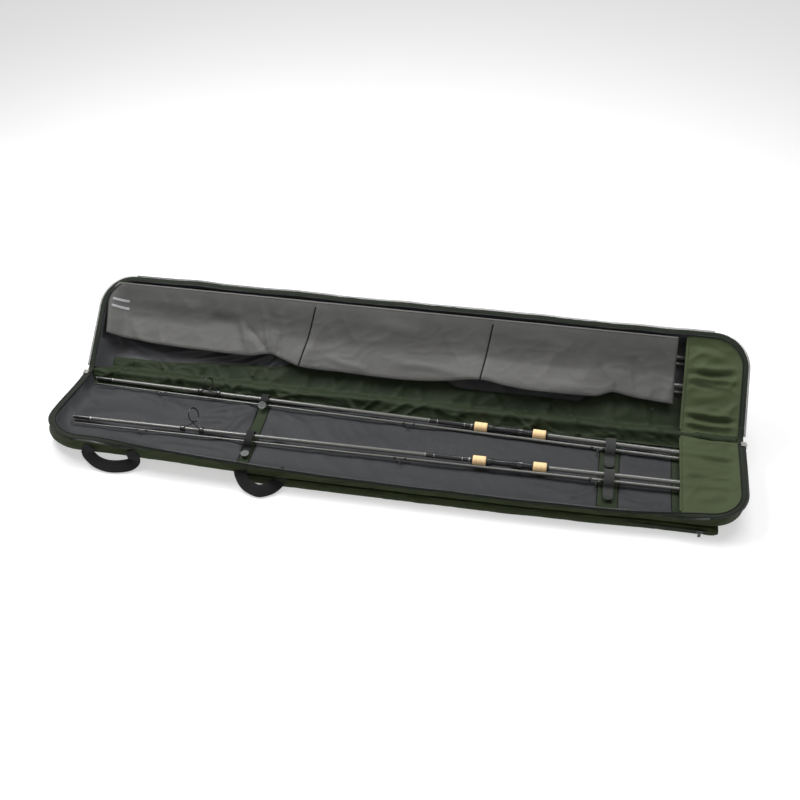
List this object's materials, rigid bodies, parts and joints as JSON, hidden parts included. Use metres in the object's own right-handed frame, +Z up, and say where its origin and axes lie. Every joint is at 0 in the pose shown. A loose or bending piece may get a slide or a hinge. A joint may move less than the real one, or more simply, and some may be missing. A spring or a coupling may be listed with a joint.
{
  "type": "fishing rod case",
  "caption": "Long padded case for two-piece fishing rods, lying open along a soft spine, with butt pockets, rod straps, a divider flap, outer pouches and strapped rods.",
  "frame": {"origin": "on the ground under the middle of the base half: the centre line of the base, halfway along the case, on the underside of its outer pouch", "axes": "+X along the case towards the butt end, +Y from the front edge of the base towards the lid, +Z up"},
  "size_m": [1.9784, 0.67, 0.2744],
  "materials": {
    "outer_cloth": "woven polyester, dull dark green",
    "green_lining": "thin woven nylon lining, olive green",
    "grey_lining": "thin woven nylon lining over foam, mid grey",
    "zip_tape": "woven zip tape and binding, dark olive charcoal",
    "zip_coil": "moulded zip teeth, dark",
    "zip_metal": "cast zip sliders and pulls",
    "webbing": "woven polypropylene webbing, black",
    "strap": "hook-and-loop tape, dark grey",
    "tab": "soft moulded pull tab, grey",
    "blank": "carbon fibre rod blank, dark",
    "cork": "cork rings, bare",
    "reel_seat": "threaded reel seat, dark",
    "guide": "dark plated wire guide"
  },
  "bodies": {
    "base": {"base_panel": "outer_cloth", "base_gusset": "outer_cloth", "base_gusset_butt": "outer_cloth", "base_zip_tape": "zip_tape", "base_zip_teeth": "zip_coil", "base_lining_tip": "grey_lining", "base_lining_middle": "grey_lining", "base_lining_butt": "grey_lining", "base_strip_tip": "green_lining", "base_strip_butt": "green_lining", "base_butt_pocket": "green_lining", "base_spine_cloth": "green_lining", "base_pouch": "outer_cloth", "base_pouch_zip": "zip_tape"},
    "lid": {"lid_panel": "outer_cloth", "lid_gusset": "outer_cloth", "lid_zip_tape": "zip_tape", "lid_zip_teeth": "zip_coil", "lid_lining": "grey_lining", "lid_butt_pocket": "green_lining", "lid_spine_cloth": "green_lining", "lid_pouch": "outer_cloth", "lid_pouch_zip": "zip_tape", "lid_elastic_3": "strap", "lid_elastic_4": "strap"},
    "flap": {"divider_flap": "grey_lining"},
    "tip_strap_1": {"tip_strap_1": "webbing", "tip_strap_tab_1": "tab"},
    "tip_strap_2": {"tip_strap_2": "webbing", "tip_strap_tab_2": "tab"},
    "butt_strap_1": {"butt_strap_1": "strap"},
    "butt_strap_2": {"butt_strap_2": "strap"},
    "tip_carry_loop": {"tip_carry_loop": "webbing"},
    "middle_carry_loop": {"middle_carry_loop": "webbing"},
    "butt_end_slider": {"butt_end_slider": "zip_metal"},
    "butt_end_puller": {"butt_end_puller": "zip_metal"},
    "tip_end_slider": {"tip_end_slider": "zip_metal"},
    "tip_end_puller": {"tip_end_puller": "zip_metal"},
    "base_pouch_slider": {"base_pouch_slider": "zip_metal"},
    "base_pouch_puller": {"base_pouch_puller": "zip_metal"},
    "lid_pouch_slider": {"lid_pouch_slider": "zip_metal"},
    "lid_pouch_puller": {"lid_pouch_puller": "zip_metal"},
    "rod_1": {"rod_1_butt_section": "blank", "rod_1_fore_cork": "cork", "rod_1_reel_seat": "reel_seat", "rod_1_rear_cork": "cork", "rod_1_tip_section": "blank", "rod_1_butt_guide": "guide"},
    "rod_2": {"rod_2_butt_section": "blank", "rod_2_fore_cork": "cork", "rod_2_reel_seat": "reel_seat", "rod_2_rear_cork": "cork", "rod_2_tip_section": "blank", "rod_2_butt_guide": "guide"},
    "rod_3": {"rod_3_butt_section": "blank", "rod_3_handle": "cork", "rod_3_tip_section": "blank"},
    "rod_4": {"rod_4_butt_section": "blank", "rod_4_handle": "cork", "rod_4_tip_section": "blank"}
  },
  "joints": [
    {"name": "lid_hinge", "type": "hinge", "parent": "base", "child": "lid", "pos_m": [0, 0.1555, 0.089], "axis": [1, 0, 0], "range_deg": [0, 143]},
    {"name": "flap_hinge", "type": "hinge", "parent": "lid", "child": "flap", "pos_m": [0, 0.37852, 0.25581], "axis": [1, 0, 0], "range_deg": [-150, 0]},
    {"name": "tip_strap_1_hinge", "type": "hinge", "parent": "base", "child": "tip_strap_1", "pos_m": [-0.41, 0.13614, 0.0785], "axis": [1, 0, 0], "range_deg": [-120, 0]},
    {"name": "butt_strap_1_hinge", "type": "hinge", "parent": "base", "child": "butt_strap_1", "pos_m": [0.611, 0.11214, 0.0785], "axis": [1, 0, 0], "range_deg": [-120, 0]},
    {"name": "tip_strap_2_hinge", "type": "hinge", "parent": "base", "child": "tip_strap_2", "pos_m": [-0.41, -0.0256, 0.0785], "axis": [1, 0, 0], "range_deg": [-120, 0]},
    {"name": "butt_strap_2_hinge", "type": "hinge", "parent": "base", "child": "butt_strap_2", "pos_m": [0.611, -0.01539, 0.0785], "axis": [1, 0, 0], "range_deg": [-120, 0]},
    {"name": "tip_carry_loop_swing", "type": "hinge", "parent": "base", "child": "tip_carry_loop", "pos_m": [0, -0.14955, 0.065], "axis": [1, 0, 0], "range_deg": [-110, 0]},
    {"name": "middle_carry_loop_swing", "type": "hinge", "parent": "base", "child": "middle_carry_loop", "pos_m": [0, -0.14955, 0.065], "axis": [1, 0, 0], "range_deg": [-110, 0]},
    {"name": "butt_end_slider_travel", "type": "slide", "parent": "base", "child": "butt_end_slider", "axis": [0, 1, 0], "range_m": [-0.17, 0]},
    {"name": "butt_end_puller_swing", "type": "hinge", "parent": "butt_end_slider", "child": "butt_end_puller", "pos_m": [0.9884, 0.1375, 0.085], "axis": [0, 1, 0], "range_deg": [-120, 0]},
    {"name": "tip_end_slider_travel", "type": "slide", "parent": "base", "child": "tip_end_slider", "axis": [0, 1, 0], "range_m": [-0.17, 0]},
    {"name": "tip_end_puller_swing", "type": "hinge", "parent": "tip_end_slider", "child": "tip_end_puller", "pos_m": [-0.9884, 0.1375, 0.085], "axis": [0, -1, 0], "range_deg": [-120, 0]},
    {"name": "base_pouch_slider_travel", "type": "slide", "parent": "base", "child": "base_pouch_slider", "axis": [1, 0, 0], "range_m": [-1.08, 0]},
    {"name": "base_pouch_puller_swing", "type": "hinge", "parent": "base_pouch_slider", "child": "base_pouch_puller", "pos_m": [0.86, -0.1596, 0.0187], "axis": [1, 0, 0], "range_deg": [-110, 0]},
    {"name": "lid_pouch_slider_travel", "type": "slide", "parent": "lid", "child": "lid_pouch_slider", "axis": [1, 0, 0], "range_m": [-1.2, 0]},
    {"name": "lid_pouch_puller_swing", "type": "hinge", "parent": "lid_pouch_slider", "child": "lid_pouch_puller", "pos_m": [0.85, 0.43373, 0.18021], "axis": [-1, 0, 0], "range_deg": [-100, 0]},
    {"name": "rod_1_draw", "type": "slide", "parent": "base", "child": "rod_1", "axis": [0.9997, -0.0235, 0], "range_m": [-0.022, 0]},
    {"name": "rod_2_draw", "type": "slide", "parent": "base", "child": "rod_2", "axis": [0.9999, 0.01, 0], "range_m": [-0.022, 0]},
    {"name": "rod_3_draw", "type": "slide", "parent": "lid", "child": "rod_3", "axis": [1, 0, 0], "range_m": [-0.014, 0]},
    {"name": "rod_4_draw", "type": "slide", "parent": "lid", "child": "rod_4", "axis": [1, 0, 0], "range_m": [-0.014, 0]}
  ]
}
